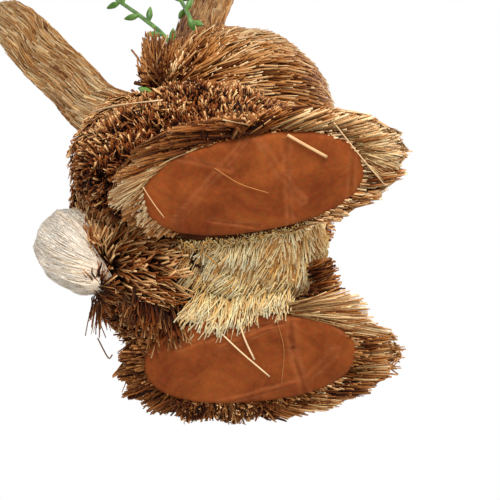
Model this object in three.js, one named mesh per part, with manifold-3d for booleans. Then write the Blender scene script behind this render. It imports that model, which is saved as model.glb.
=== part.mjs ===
// A sitting rabbit of bundled straw: soft bristle pads tied on a round body, two long hind feet with
// paper soles, a fibre tail, wired straw ears and a few green sprigs between them.
// Millimetres, +Z up. The rabbit faces -Y and its left side is +X. It stands on its two soles.

import * as THREE from 'three';
import { mergeVertices } from 'three/addons/utils/BufferGeometryUtils.js';
import Module from 'manifold-3d';

const wasm = await Module();
wasm.setup();

// ---------------------------------------------------------------- driving dimensions

const GAP = 0.35;                    // clear space between pieces that lie against each other
const WELD = 0.02;                   // an edge shorter than this is closed up

const SOLE = {
  length: 108, width: 51, square: 2.35, thick: 3.2, crown: 0.9, spacing: 95, stagger: 12, toeOut: 3,
};
const FRINGE = {
  toe: 21, heel: 14, outer: 12, inner: 5, rise: 1, teeth: 18, toothDepth: 2.8, soften: 0.35,
};
const FOOT = { toeHeight: 17, heelHeight: 38, toeTaper: 0.08, square: 2.3 };
const HAUNCH = {
  inner: 24, outer: 75, edge: 6, edgeShare: 0.35, centreY: 22, centreZ: 65, length: 131, height: 114,
};
const BODY = {
  bottom: 6, top: 168, centreY: 33, lean: 6, length: 110, hipWidth: 60, shoulderWidth: 102, box: 4.5,
  fullness: 0.5, waist: [0.42, 0.7],
};
const BELLY = { centreY: -2, centreZ: 60, length: 77, width: 56, height: 115, box: 5 };
const TAIL = { y: 84, z: 44, length: 54, width: 48, height: 68, lean: 14, open: [0.62, 1.12] };
const HEAD = { x: 2, y: -6, z: 192, front: 70, back: 63, width: 109, height: 99, yaw: 40 };
const MUZZLE = { width: 54, height: 48, start: 0.3, drop: 9, blunt: 0.3 };
const EYE = { radius: 5, forward: 0.42, up: 0.46, proud: 0.35 };
const NOSE = { radius: 5.5, up: 0.1 };
const EAR = { width: 38, thick: 16, tipShare: 0.16, rootShare: 0.72 };
const EAR_LEFT = {
  route: [[5, 32, 200], [8, 70, 232], [4, 99, 296], [-18, 150, 394]],
  across: [0.77, 0.64, 0],
};
const EAR_RIGHT = {
  route: [[-14, 22, 206], [-12, 18, 286], [-14, -2, 394]],
  across: [0.3, 0.95, 0],
};
const FORELEG = {
  route: [[29, -6, 144], [26, -33, 108], [15, -39, 60]], radius: 11, pawRadius: 12, flatness: 0.85,
};
const STEM = { radius: 0.9, sides: 5 };
const LEAF = { length: 9, width: 6, thick: 2.2 };
const SPRIGS = [
  {
    name: 'sprig_rear',
    stem: [[-20, 20, 214], [-29, 33, 257], [-30, 47, 296], [-28, 64, 342]],
    leaves: [[0.3, 2.9], [0.42, 1.2], [0.6, 3.4], [0.72, 1.2], [0.95, 3.2], [0.98, 1.0]],
  },
  {
    name: 'sprig_front',
    stem: [[-20, 12, 214], [-28, 16, 264], [-29, 20, 302], [-27, 26, 344]],
    leaves: [[0.42, 1.8], [0.6, -0.9], [0.78, 2.1], [0.97, -1.2]],
  },
];

// How deep the bunches of straw stand out, and how many lie around and along each form.
const BUNCH_DEPTH = {
  body: 6, haunch: 7, belly: 3.6, head: 5, ear: 2.6, tail: 3.6, foreleg: 2.6, foot: 3.2,
};
const BUNCHES = {
  body: [8, 5], haunch: [9, 4], belly: [10, 5], head: [9, 5], ear: [9, 5], tail: [10, 3], foreleg: [6, 3],
};

const COLOUR = {
  straw: 0x9a6a3c, dark: 0x74461f, cream: 0xdcc493, white: 0xefe9da, light: 0xb58a58,
  paper: 0x8c4524, green: 0x5f8c34, bead: 0x17120f, nose: 0x5a2d22,
};

// ---------------------------------------------------------------- shared shaping

const mix = THREE.MathUtils.lerp;
const radians = THREE.MathUtils.degToRad;
const vector = (triple) => new THREE.Vector3(...triple);

// A closed skin of rings between two poles. place() puts each point: unit is its place on a unit ball
// with the poles on +Z and -Z, around and along run from 0 to 1.
function skin(rings, sides, place) {
  const geometry = new THREE.SphereGeometry(1, sides, rings);
  geometry.rotateX(Math.PI / 2);
  const points = geometry.attributes.position;
  const spots = geometry.attributes.uv;
  const unit = new THREE.Vector3();
  for (let i = 0; i < points.count; i += 1) {
    unit.fromBufferAttribute(points, i);
    const isPole = Math.abs(unit.z) > 1 - 1e-9;
    const around = isPole ? 0 : spots.getX(i) % 1;
    const spot = place(unit, around, 1 - spots.getY(i));
    points.setXYZ(i, spot.x, spot.y, spot.z);
  }
  geometry.deleteAttribute('normal');
  geometry.deleteAttribute('uv');
  return mergeVertices(geometry, 1e-3);
}

// How far out a level section reaches when its corners are squared up: 2 is an oval, more is boxier.
function boxy(x, y, power) {
  return (Math.abs(x) ** power + Math.abs(y) ** power) ** (-1 / power);
}

// Bunches of straw laid like thatch: each swells from its root to a cut lip, has a furrow on either
// side, and lies half a bunch further on than the next column. Gives 0 in the furrows, 1 on a lip.
function bunch(around, along, [columns, rows]) {
  const column = around * columns;
  const index = Math.floor(column + 1e-6);
  const fromMiddle = Math.abs(2 * (column - index) - 1);
  const row = along * rows + (index % 2) * 0.5;
  const rise = row - Math.floor(row + 1e-6);
  return (0.25 + 0.75 * rise) * (1 - 0.75 * fromMiddle ** 2);
}

function solid(geometry) {
  return new wasm.Manifold(new wasm.Mesh({
    numProp: 3,
    vertProperties: new Float32Array(geometry.attributes.position.array),
    triVerts: new Uint32Array(geometry.index.array),
  }));
}

// A cut piece as a mesh. Edges shorter than the weld length, which a cut leaves where two surfaces
// just graze, are closed up.
function geometryOf(piece) {
  const { vertProperties, triVerts } = piece.getMesh();
  const corner = (i) => new THREE.Vector3().fromArray(vertProperties, 3 * i);
  const kept = Array.from({ length: vertProperties.length / 3 }, (_, i) => i);
  const target = (i) => (kept[i] === i ? i : target(kept[i]));
  for (let i = 0; i < triVerts.length; i += 1) {
    const next = i % 3 === 2 ? i - 2 : i + 1;
    const [from, to] = [target(triVerts[i]), target(triVerts[next])];
    if (from !== to && corner(from).distanceTo(corner(to)) < WELD) {
      kept[Math.max(from, to)] = Math.min(from, to);
    }
  }
  const faces = [];
  for (let i = 0; i < triVerts.length; i += 3) {
    const face = [0, 1, 2].map((step) => target(triVerts[i + step]));
    if (new Set(face).size === 3) faces.push(...face);
  }
  const geometry = new THREE.BufferGeometry();
  geometry.setAttribute('position', new THREE.BufferAttribute(new Float32Array(vertProperties), 3));
  geometry.setIndex(faces);
  return geometry;
}

// A form with its surface moved out by the gap, to cut room for it out of a neighbour.
function roomFor(form) {
  const geometry = form.clone();
  geometry.computeVertexNormals();
  const points = geometry.attributes.position;
  const normals = geometry.attributes.normal;
  for (let i = 0; i < points.count; i += 1) {
    points.setXYZ(
      i,
      points.getX(i) + GAP * normals.getX(i),
      points.getY(i) + GAP * normals.getY(i),
      points.getZ(i) + GAP * normals.getZ(i),
    );
  }
  geometry.deleteAttribute('normal');
  return solid(geometry);
}

// The piece less the room that its neighbours need, without the loose crumbs of the cut.
function cutBy(piece, ...neighbours) {
  return neighbours
    .reduce((left, neighbour) => left.subtract(roomFor(neighbour)), piece)
    .decompose()
    .reduce((best, part) => (part.volume() > best.volume() ? part : best));
}

function mirrored(geometry) {
  const twin = geometry.clone().scale(-1, 1, 1);
  const corners = twin.index.array;
  for (let i = 0; i < corners.length; i += 3) {
    [corners[i + 1], corners[i + 2]] = [corners[i + 2], corners[i + 1]];
  }
  return twin;
}

// ---------------------------------------------------------------- hind feet and haunches

const solePlace = (side) => [side * SOLE.spacing / 2, side * SOLE.stagger / 2];

// A long oval with a rounder, blunter toe, flat below and slightly crowned inside its straw rim.
function soleGeometry() {
  return skin(6, 24, (unit) => {
    const reach = Math.hypot(unit.x, unit.y) || 1;
    const [across, back] = [unit.x / reach, unit.y / reach];
    const blunt = boxy(across, back, SOLE.square);
    const spread = Math.min(1, 1.06 * Math.hypot(unit.x, unit.y) ** 0.6);
    const x = across * blunt * spread * SOLE.width / 2;
    const y = back * blunt * spread * SOLE.length / 2;
    const z = unit.z > 0 ? SOLE.thick * Math.min(1, 1.5 * unit.z) + SOLE.crown * unit.z : 0;
    return new THREE.Vector3(x, y, z);
  });
}

// A slipper of straw: a toothed rim just clear of the ground, low at the toe and high at the heel.
function footGeometry() {
  const halfLength = (SOLE.length + FRINGE.toe + FRINGE.heel) / 2;
  const halfWidth = (SOLE.width + FRINGE.outer + FRINGE.inner) / 2;
  const shiftX = (FRINGE.outer - FRINGE.inner) / 2;
  const shiftY = (FRINGE.heel - FRINGE.toe) / 2;
  return skin(10, 2 * FRINGE.teeth, (unit, around) => {
    const reach = Math.hypot(unit.x, unit.y) || 1;
    const [across, back] = [unit.x / reach, unit.y / reach];
    const blunt = boxy(across, back, FOOT.square);
    const tooth = Math.round(around * 2 * FRINGE.teeth) % 2;
    const edge = Math.exp(-((unit.z / FRINGE.soften) ** 2));
    const ribbed = unit.z > 0 ? BUNCH_DEPTH.foot * (1 - edge) * tooth * reach : 0;
    const spread = Math.min(1, reach) - (tooth ? 0 : (FRINGE.toothDepth / halfWidth) * edge);
    const y = shiftY + back * blunt * spread * halfLength;
    const narrow = 1 - FOOT.toeTaper * Math.max(0, -y / halfLength);
    const x = shiftX * narrow + across * blunt * spread * halfWidth * narrow;
    const height = mix(FOOT.toeHeight, FOOT.heelHeight, (y / halfLength + 1) / 2);
    const z = unit.z > 0 ? (height - ribbed) * unit.z ** 1.1 : 0;
    return new THREE.Vector3(x, y, FRINGE.rise + z);
  });
}

function settle(geometry, side) {
  const turned = side < 0 ? mirrored(geometry) : geometry.clone();
  const [x, y] = solePlace(side);
  return turned.rotateZ(radians(side * SOLE.toeOut)).translate(x, y, 0);
}

// A thick round pad of bristle: flat where it lies on the body, with a rounded edge, domed and shaggy.
function haunchGeometry() {
  const dome = HAUNCH.outer - HAUNCH.inner - HAUNCH.edge;
  return skin(12, 27, (unit, around, along) => {
    const reach = Math.hypot(unit.x, unit.y);
    const isFlat = unit.z <= -HAUNCH.edgeShare;
    const shag = BUNCH_DEPTH.haunch * ((isFlat ? 0 : bunch(around, along, BUNCHES.haunch)) - 1);
    const edge = HAUNCH.edge * THREE.MathUtils.clamp(1 + unit.z / HAUNCH.edgeShare, 0, 1);
    return new THREE.Vector3(
      HAUNCH.inner + edge + Math.max(0, unit.z) ** 0.9 * (dome + shag),
      HAUNCH.centreY + unit.x * (HAUNCH.length / 2 + shag * reach),
      HAUNCH.centreZ + unit.y * (HAUNCH.height / 2 + shag * reach),
    );
  });
}

// ---------------------------------------------------------------- body, belly, tail

// Narrow between the haunches, wide at the shoulders, with the rump and back nearly upright behind.
function bodyGeometry() {
  return skin(13, 24, (unit, around, along) => {
    const up = (unit.z + 1) / 2;
    const reach = Math.hypot(unit.x, unit.y);
    const isPole = reach < 1e-6;
    const [across, back] = isPole ? [0, 0] : [unit.x / reach, unit.y / reach];
    const full = isPole ? 0 : boxy(across, back, BODY.box) * reach ** BODY.fullness;
    const wide = mix(BODY.hipWidth, BODY.shoulderWidth, THREE.MathUtils.smoothstep(up, ...BODY.waist));
    const shag = BUNCH_DEPTH.body * (bunch(around, along, BUNCHES.body) - 0.8);
    return new THREE.Vector3(
      across * full * (wide / 2 + shag),
      BODY.centreY + BODY.lean * (up - 0.5) + back * full * (BODY.length / 2 + shag),
      mix(BODY.bottom, BODY.top, up),
    );
  });
}

// A squared-up pad that fills the space between the haunches, with its cut ends downwards.
function bellyGeometry() {
  return skin(10, 20, (unit, around, along) => {
    const shag = BUNCH_DEPTH.belly * (bunch(around, along, BUNCHES.belly) - 1);
    const swell = (Math.abs(unit.x) ** BELLY.box + Math.abs(unit.y) ** BELLY.box
      + Math.abs(unit.z) ** BELLY.box) ** (-1 / BELLY.box);
    return new THREE.Vector3(
      unit.x * swell * (BELLY.width / 2 + shag),
      BELLY.centreY + unit.y * swell * (BELLY.length / 2 + shag),
      BELLY.centreZ + unit.z * swell * (BELLY.height / 2 + shag),
    );
  });
}

// A fan of fibre tied low on the rump, opening upwards and back.
function tailGeometry() {
  return skin(9, 20, (unit, around, along) => {
    const open = mix(...TAIL.open, (unit.z + 1) / 2);
    const shag = BUNCH_DEPTH.tail * (bunch(around, 1 - along, BUNCHES.tail) - 1);
    return new THREE.Vector3(
      unit.x * open * (TAIL.width / 2 + shag),
      TAIL.y + unit.z * TAIL.lean / 2 + unit.y * open * (TAIL.length / 2 + shag),
      TAIL.z + unit.z * TAIL.height / 2,
    );
  });
}

// ---------------------------------------------------------------- head

const headTurn = new THREE.Matrix4()
  .makeRotationZ(radians(HEAD.yaw))
  .setPosition(HEAD.x, HEAD.y, HEAD.z);

// A point of the head's skin, raised from it by lift. Round at the back, with full cheeks drawing in
// to a blunt muzzle. unit.z runs from the nose at 1 to the nape at -1.
function headPoint(unit, lift) {
  const reach = Math.hypot(unit.x, unit.y);
  const taper = Math.max(0, (unit.z - MUZZLE.start) / (1 - MUZZLE.start));
  const halfWidth = mix(HEAD.width, MUZZLE.width, taper) / 2;
  const halfHeight = mix(HEAD.height, MUZZLE.height, taper) / 2;
  const blunt = reach > 0 ? reach ** (-MUZZLE.blunt * taper) : 0;
  return new THREE.Vector3(
    unit.x * blunt * (halfWidth + lift),
    -unit.z * ((unit.z > 0 ? HEAD.front : HEAD.back) + lift * 0.5),
    unit.y * blunt * (halfHeight + lift) - MUZZLE.drop * taper,
  );
}

// Straw runs over it in bunches from nose to nape.
function headGeometry() {
  return skin(14, 27, (unit, around, along) => (
    headPoint(unit, BUNCH_DEPTH.head * (bunch(around, along, BUNCHES.head) - 1))
  )).applyMatrix4(headTurn);
}

// A bead set into the head's skin where unit points.
function beadGeometry(radius, unit) {
  const ball = new THREE.IcosahedronGeometry(radius, 1);
  ball.deleteAttribute('normal');
  ball.deleteAttribute('uv');
  const seat = headPoint(unit.normalize(), -BUNCH_DEPTH.head * (1 - EYE.proud));
  return mergeVertices(ball, 1e-3).translate(seat.x, seat.y, seat.z).applyMatrix4(headTurn);
}

// ---------------------------------------------------------------- limbs that follow a curve

// A padded strip round a curve: an oval section that closes to a point of its own at each end.
function limbGeometry(curve, acrossHint, halfWidth, halfThick, rings, sides, relief) {
  return skin(rings, sides, (unit, around, along) => {
    const middle = curve.getPoint(along);
    const forward = curve.getTangent(along);
    const across = acrossHint.clone().addScaledVector(forward, -acrossHint.dot(forward)).normalize();
    const deep = new THREE.Vector3().crossVectors(forward, across);
    const reach = Math.hypot(unit.x, unit.y) || 1;
    const lift = relief(around, along, unit);
    return middle
      .addScaledVector(across, -(unit.x / reach) * (halfWidth(along) + lift) * (along % 1 ? 1 : 0))
      .addScaledVector(deep, (unit.y / reach) * (halfThick(along) + lift) * (along % 1 ? 1 : 0));
  });
}

function earGeometry({ route, across }) {
  const curve = new THREE.CatmullRomCurve3(route.map(vector));
  const outline = (along) => {
    const fromTip = Math.min(1, (1 - along) / EAR.tipShare);
    const fromRoot = Math.min(1, EAR.rootShare + along * 2);
    return fromRoot * Math.sqrt(1 - (1 - fromTip) ** 2);
  };
  return limbGeometry(
    curve, vector(across),
    (along) => outline(along) * EAR.width / 2,
    (along) => outline(along) * EAR.thick / 2,
    14, 18,
    (around, along) => BUNCH_DEPTH.ear * (bunch(around, along, BUNCHES.ear) - 1) * outline(along),
  );
}

function forelegGeometry() {
  const curve = new THREE.CatmullRomCurve3(FORELEG.route.map(vector));
  const round = (along) => {
    const girth = mix(FORELEG.radius, FORELEG.pawRadius, along);
    return girth * Math.sqrt(1 - Math.abs(2 * along - 1) ** 4);
  };
  return limbGeometry(
    curve, new THREE.Vector3(1, 0, 0), round, (along) => FORELEG.flatness * round(along), 10, 12,
    (around, along) => BUNCH_DEPTH.foreleg * (bunch(around, along, BUNCHES.foreleg) - 1),
  );
}

// ---------------------------------------------------------------- green sprigs

// A thin stem along a curve with small oval leaves set on it in turn, left and right.
function sprigSolid(points, leafPlaces) {
  const curve = new THREE.CatmullRomCurve3(points.map(vector));
  const section = new THREE.Shape(
    Array.from({ length: STEM.sides }, (_, i) => {
      const turn = (i / STEM.sides) * 2 * Math.PI;
      return new THREE.Vector2(STEM.radius * Math.cos(turn), STEM.radius * Math.sin(turn));
    }),
  );
  const stem = new THREE.ExtrudeGeometry(section, { steps: 8, bevelEnabled: false, extrudePath: curve });
  stem.deleteAttribute('normal');
  stem.deleteAttribute('uv');
  let sprig = solid(mergeVertices(stem, 1e-3));
  leafPlaces.forEach(([along, turn], i) => {
    const leaf = skin(3, 5, (unit) => new THREE.Vector3(
      unit.x * LEAF.width / 2, unit.y * LEAF.thick / 2, (unit.z + 0.92) * LEAF.length / 2,
    ));
    const out = new THREE.Vector3(Math.cos(turn), Math.sin(turn), 0.5 + 0.1 * i).normalize();
    const toOut = new THREE.Quaternion().setFromUnitVectors(new THREE.Vector3(0, 0, 1), out);
    const foot = curve.getPoint(along);
    leaf.applyQuaternion(toOut).translate(foot.x, foot.y, foot.z);
    sprig = sprig.add(solid(leaf));
  });
  return sprig;
}

// ---------------------------------------------------------------- the pieces, cut to lie together

const soles = [settle(soleGeometry(), 1), settle(soleGeometry(), -1)];
const feet = [settle(footGeometry(), 1), settle(footGeometry(), -1)];
const haunches = [haunchGeometry(), mirrored(haunchGeometry())];
const belly = bellyGeometry();
const body = bodyGeometry();
const tail = tailGeometry();
const head = headGeometry();
const eyes = [1, -1].map((side) => (
  beadGeometry(EYE.radius, new THREE.Vector3(side, EYE.up, EYE.forward))
));
const nose = beadGeometry(NOSE.radius, new THREE.Vector3(0, NOSE.up, 1));
const ears = [earGeometry(EAR_LEFT), earGeometry(EAR_RIGHT)];
const forelegs = [forelegGeometry(), mirrored(forelegGeometry())];

// ---------------------------------------------------------------- the rabbit

const rabbit = new THREE.Group();

function addPiece(name, piece, colour, roughness = 0.9) {
  const geometry = geometryOf(piece);
  geometry.computeBoundingBox();
  const middle = geometry.boundingBox.getCenter(new THREE.Vector3());
  geometry.translate(-middle.x, -middle.y, -middle.z);
  const material = new THREE.MeshStandardMaterial({
    color: colour, roughness, metalness: 0, flatShading: true,
  });
  const mesh = new THREE.Mesh(geometry, material);
  mesh.name = name;
  mesh.position.copy(middle);
  rabbit.add(mesh);
}

['left', 'right'].forEach((side, i) => {
  addPiece(`sole_${side}`, solid(soles[i]), COLOUR.paper, 0.8);
  addPiece(`foot_${side}`, cutBy(solid(feet[i]), soles[i], belly), COLOUR.straw);
  addPiece(`haunch_${side}`, cutBy(solid(haunches[i]), feet[i], belly), COLOUR.dark);
  addPiece(`foreleg_${side}`, cutBy(solid(forelegs[i]), body, belly, haunches[i], head), COLOUR.straw);
  addPiece(`ear_${side}`, cutBy(solid(ears[i]), head, body), COLOUR.light);
  addPiece(`eye_${side}`, solid(eyes[i]), COLOUR.bead, 0.2);
});
addPiece('belly', solid(belly), COLOUR.cream);
addPiece('body', cutBy(solid(body), belly, ...feet, ...haunches, head), COLOUR.dark);
addPiece('tail', cutBy(solid(tail), body, ...haunches), COLOUR.white);
addPiece('head', cutBy(solid(head), nose, ...eyes), COLOUR.light);
addPiece('nose', solid(nose), COLOUR.nose, 0.5);
SPRIGS.forEach(({ name, stem, leaves }) => {
  addPiece(name, cutBy(sprigSolid(stem, leaves), head), COLOUR.green, 0.5);
});

// The origin is the middle of the whole rabbit's box, on the ground.
const box = new THREE.Box3().setFromObject(rabbit);
rabbit.children.forEach((mesh) => {
  mesh.position.x -= (box.min.x + box.max.x) / 2;
  mesh.position.y -= (box.min.y + box.max.y) / 2;
});

export default rabbit;
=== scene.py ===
import math

import bmesh
import bpy
import numpy as np
from mathutils import Matrix, Vector, noise
from mathutils.bvhtree import BVHTree


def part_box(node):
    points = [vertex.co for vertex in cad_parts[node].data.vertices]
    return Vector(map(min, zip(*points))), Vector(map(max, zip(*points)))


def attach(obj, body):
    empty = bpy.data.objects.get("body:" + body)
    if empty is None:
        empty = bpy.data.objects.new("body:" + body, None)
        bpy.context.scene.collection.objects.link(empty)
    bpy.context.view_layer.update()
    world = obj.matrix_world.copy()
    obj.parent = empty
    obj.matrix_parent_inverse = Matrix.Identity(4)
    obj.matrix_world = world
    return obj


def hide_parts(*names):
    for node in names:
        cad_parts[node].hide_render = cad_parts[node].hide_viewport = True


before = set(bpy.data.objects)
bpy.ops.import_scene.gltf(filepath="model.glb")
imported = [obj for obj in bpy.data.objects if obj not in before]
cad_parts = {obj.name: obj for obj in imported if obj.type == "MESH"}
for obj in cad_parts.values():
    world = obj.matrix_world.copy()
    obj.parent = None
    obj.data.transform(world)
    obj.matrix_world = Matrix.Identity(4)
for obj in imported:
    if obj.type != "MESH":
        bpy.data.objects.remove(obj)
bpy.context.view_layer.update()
MM = 0.001


# ---------------------------------------- soles
# Each foot stands on a flat oval pad covered with thin russet craft paper.
# The paper is crinkled, folded over the rim and glued to the straw above.
def srgb(red, green, blue):
    """A colour given in 0..255 steps, as a linear RGBA."""
    parts = [c / 255 for c in (red, green, blue)]
    return [c / 12.92 if c < 0.04045 else ((c + 0.055) / 1.055) ** 2.4 for c in parts] + [1.0]


def shell(node):
    """A bmesh of a CAD node with its corners joined, in triangles."""
    bm = bmesh.new()
    bm.from_mesh(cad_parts[node].data)
    bmesh.ops.remove_doubles(bm, verts=bm.verts, dist=1e-5)
    bmesh.ops.triangulate(bm, faces=bm.faces)
    bm.normal_update()
    return bm


def wire(tree, given, target):
    """Links an input in a node tree to a socket, or sets it to a value."""
    if isinstance(given, bpy.types.NodeSocket):
        tree.links.new(given, target)
    else:
        target.default_value = given


def feed(tree, node, **inputs):
    """Wires the inputs of a node by name; a _ in a name stands for a space."""
    for label, given in inputs.items():
        wire(tree, given, node.inputs[label.replace("_", " ")])
    return node


def add(tree, kind, **inputs):
    """A new shader node with its inputs wired."""
    return feed(tree, tree.nodes.new("ShaderNode" + kind), **inputs)


def new_material(name):
    """An empty node material: (material, its node tree, the Principled shader)."""
    material = bpy.data.materials.new(name)
    material.use_nodes = True
    tree = material.node_tree
    tree.nodes.clear()
    shader = add(tree, "BsdfPrincipled")
    add(tree, "OutputMaterial", Surface=shader.outputs["BSDF"])
    return material, tree, shader


def own_value(tree, label):
    """The socket of the value that a mesh carries under that name."""
    node = add(tree, "Attribute")
    node.attribute_name = label
    return node.outputs["Fac"]


def noise_in(tree, **inputs):
    """A noise texture in the object's own coordinates."""
    return add(tree, "TexNoise", Vector=add(tree, "TexCoord").outputs["Object"], **inputs)


def mixed(tree, share, first, second, blend="MIX"):
    """The socket of a mix of two colours."""
    node = add(tree, "Mix")
    node.data_type, node.blend_type = "RGBA", blend
    for number, given in ((0, share), (6, first), (7, second)):
        wire(tree, given, node.inputs[number])
    return node.outputs[2]


def ramp(tree, factor, *ends):
    """The socket of a colour ramp between two ends, each a position and a colour."""
    node = add(tree, "ValToRGB", Fac=factor)
    for element, (position, colour) in zip(node.color_ramp.elements, ends):
        element.position, element.color = position, srgb(*colour)
    return node.outputs["Color"]


def put(name, data):
    """A new object in the scene."""
    obj = bpy.data.objects.new(name, data)
    bpy.context.scene.collection.objects.link(obj)
    return obj


def solid(bm, name, material):
    """A smooth mesh object made from a bmesh, which is used up."""
    mesh = bpy.data.meshes.new(name)
    bm.to_mesh(mesh)
    bm.free()
    mesh.shade_smooth()
    mesh.materials.append(material)
    return put(name, mesh)


def place(obj, body_slot, *nodes):
    """Puts a finished piece on the root body and hides the nodes it stands for; body_slot is not used."""
    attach(obj, "root")
    if nodes:
        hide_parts(*nodes)


paper, tree, shader = new_material("paper")
blotch = noise_in(tree, Scale=48, Detail=9, Roughness=0.66, Distortion=0.6)
fine = noise_in(tree, Scale=520, Detail=5, Roughness=0.7)
tone = ramp(tree, blotch.outputs["Fac"], (0.3, (122, 48, 10)), (0.72, (190, 98, 38)))
tone = mixed(tree, 0.6, tone, fine.outputs["Color"], "MULTIPLY")
# Paler beside a crease, part rubbed wear and part painted highlight; painted shade down in it.
tone = mixed(tree, own_value(tree, "crease"), tone, srgb(196, 122, 76))
tone = mixed(tree, own_value(tree, "fold"), tone, srgb(74, 26, 6))
bump = add(tree, "Bump", Height=fine.outputs["Fac"], Strength=0.25, Distance=0.0004)
feed(tree, shader, Base_Color=tone, Normal=bump.outputs["Normal"], Roughness=0.75, Specular_IOR_Level=0.15)

# Creases in shares of the sole, from (across, along) to (across, along), with depth and width in mm.
# A crease of negative depth is a fold up into the paper, any other a ridge that hangs down.
# Across runs from the inner edge to the outer one, along from the toe to the heel.
SOLE_CREASES = {
    "sole_left": [((0.0, 0.29), (0.42, 0.3), -0.9, 1.3), ((0.42, 0.3), (1.0, 0.26), -0.7, 1.5),
                  ((0.26, 0.82), (0.16, 0.6), -0.6, 1.1), ((0.16, 0.6), (0.12, 0.33), -0.5, 1.0),
                  ((0.02, 0.18), (0.3, 0.06), -0.5, 1.2), ((0.7, 0.02), (0.98, 0.2), -0.5, 1.2),
                  ((0.10, 0.28), (0.3, 0.62), 0.35, 1.2), ((0.8, 0.3), (0.93, 0.66), 0.5, 1.4),
                  ((0.1, 0.95), (0.2, 0.68), -0.5, 1.2), ((0.2, 0.68), (0.06, 0.5), -0.4, 1.0),
                  ((0.5, 0.1), (0.75, 0.24), 0.4, 1.6)],
    "sole_right": [((0.25, 0.86), (0.95, 0.52), 0.4, 1.5), ((0.05, 0.36), (0.9, 0.34), -0.45, 1.2),
                   ((0.72, 0.97), (0.97, 0.78), -0.7, 1.3), ((0.3, 0.08), (0.72, 0.05), -0.5, 1.2),
                   ((0.08, 0.5), (0.2, 0.7), -0.4, 1.1), ((0.3, 0.3), (0.96, 0.46), 0.3, 1.5),
                   ((0.95, 0.9), (0.7, 0.6), -0.35, 1.2)],
}
SOLE_RINGS, SOLE_SIDES = 44, 168
# The face lifts a little towards the rim and turns up over the last EDGE_WIDTH. Crumpled paper may
# hang down as far as SOLE_FLOOR. The last two are the strongest marks a crease leaves: paling beside
# it, part rubbed wear and part painted highlight, and painted shade down in it.
RIM_LIFT, EDGE_LIFT, EDGE_WIDTH = 0.0011, 0.0012, 0.004
CRUMPLE, SOLE_FLOOR = 0.0007, -0.0006
RUB_AND_HIGHLIGHT, FOLD_SHADE = 0.34, 0.62

for node, creases in SOLE_CREASES.items():
    source = shell(node)
    tree = BVHTree.FromBMesh(source)
    source.free()
    low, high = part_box(node)
    centre = (low + high) / 2
    outward = 1 if centre.x > 0 else -1
    size = high - low
    bm = bmesh.new()
    wear_and_highlight_layer = bm.verts.layers.float.new("crease")
    fold_shade_layer = bm.verts.layers.float.new("fold")
    rings = []
    for ring in range(1, SOLE_RINGS + 1):
        share, row = ring / SOLE_RINGS, []
        for side in range(SOLE_SIDES):
            turn = math.tau * side / SOLE_SIDES
            way = Vector((math.cos(turn), math.sin(turn), 0))
            rim = tree.ray_cast(centre, way)[0] - centre
            point = centre + rim * (1 - (1 - share) ** 1.15)
            fall = max(0.0, 1 - rim.length * (1 - share) / EDGE_WIDTH)
            level = low.z + RIM_LIFT * share ** 5 + EDGE_LIFT * fall * fall
            across = 0.5 + outward * (point.x - centre.x) / size.x
            along = (point.y - low.y) / size.y
            wear_and_highlight_here = fold_shade_here = 0.0
            for start, end, depth, width in creases:
                line = Vector(end) - Vector(start)
                spot = Vector((across, along)) - Vector(start)
                reach = min(1.0, max(0.0, spot.dot(line) / line.length_squared))
                gap = spot - line * reach
                off = math.hypot(gap.x * size.x, gap.y * size.y) / (width * MM)
                off += 0.9 * noise.noise(point * 110) + 0.4 * noise.noise(point * 320)
                dent = math.exp(-off * off)
                level -= depth * MM * dent * (1 - fall)
                # Paling beside the crease is part wear and part painted highlight; darkening down in it is
                # painted shade.
                wear_and_highlight_here = max(wear_and_highlight_here, RUB_AND_HIGHLIGHT * math.exp(-(off - 1.3) ** 2 * 2.5))
                fold_shade_here = max(fold_shade_here, -FOLD_SHADE * depth * math.exp(-(2 * off) ** 2))
            swell = noise.noise(point * 55) * 0.5 + noise.noise(point * 150) * 0.3
            swell -= 0.6 * abs(noise.noise(point * 70 + Vector((3, 5, 0))))
            level += swell * CRUMPLE * (1 - share ** 6)
            vert = bm.verts.new((point.x, point.y, max(level, low.z + SOLE_FLOOR)))
            vert[wear_and_highlight_layer] = wear_and_highlight_here * (0.5 + 0.5 * noise.noise(point * 300))
            vert[fold_shade_layer] = fold_shade_here * (0.8 + 0.5 * noise.noise(point * 200))
            row.append(vert)
        rings.append(row)
    middle = bm.verts.new((centre.x, centre.y, low.z))
    lid = bm.verts.new((centre.x, centre.y, high.z))
    upper = [bm.verts.new((v.co.x, v.co.y, high.z)) for v in rings[-1]]
    for side in range(SOLE_SIDES):
        after = (side + 1) % SOLE_SIDES
        bm.faces.new((middle, rings[0][after], rings[0][side]))
        for inner, outer in zip(rings, rings[1:] + [upper]):
            bm.faces.new((inner[side], inner[after], outer[after], outer[side]))
        bm.faces.new((lid, upper[side], upper[after]))
    bmesh.ops.recalc_face_normals(bm, faces=bm.faces)
    place(solid(bm, node + "_paper", paper), "russet_paper", node)


# ---------------------------------------- feet
# A foot is a bundle of pale straws that lie along the sole and stick out past it as a fringe.
# They are tied at the ankle and cut off blunt; the outer side is rough brown fibre.
SHELLS = {name: shell(name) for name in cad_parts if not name.startswith("sprig")}
TREES = {name: BVHTree.FromBMesh(bm) for name, bm in SHELLS.items()}
BOXES = {name: tuple(np.array(corner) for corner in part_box(name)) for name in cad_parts}
OVERLAP = 0.0015    # how deep a straw may be rooted inside a neighbour


def unit(rows):
    """Each row brought to length 1."""
    return rows / np.maximum(np.linalg.norm(rows, axis=-1, keepdims=True), 1e-9)


def waves(points, size, seed):
    """Three smooth values from about -1 to 1 at each point, that change over some `size` metres."""
    draw = np.random.default_rng(seed)
    total = np.zeros((len(points), 3))
    for _ in range(5):
        total += np.sin(points @ draw.normal(size=(3, 3)) / size + draw.uniform(0, math.tau, 3))
    return total / 2.6


def form_of(bm):
    """A triangulated bmesh as arrays: (corners, triangles)."""
    return np.array([v.co for v in bm.verts]), np.array([[v.index for v in f.verts] for f in bm.faces])


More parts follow.
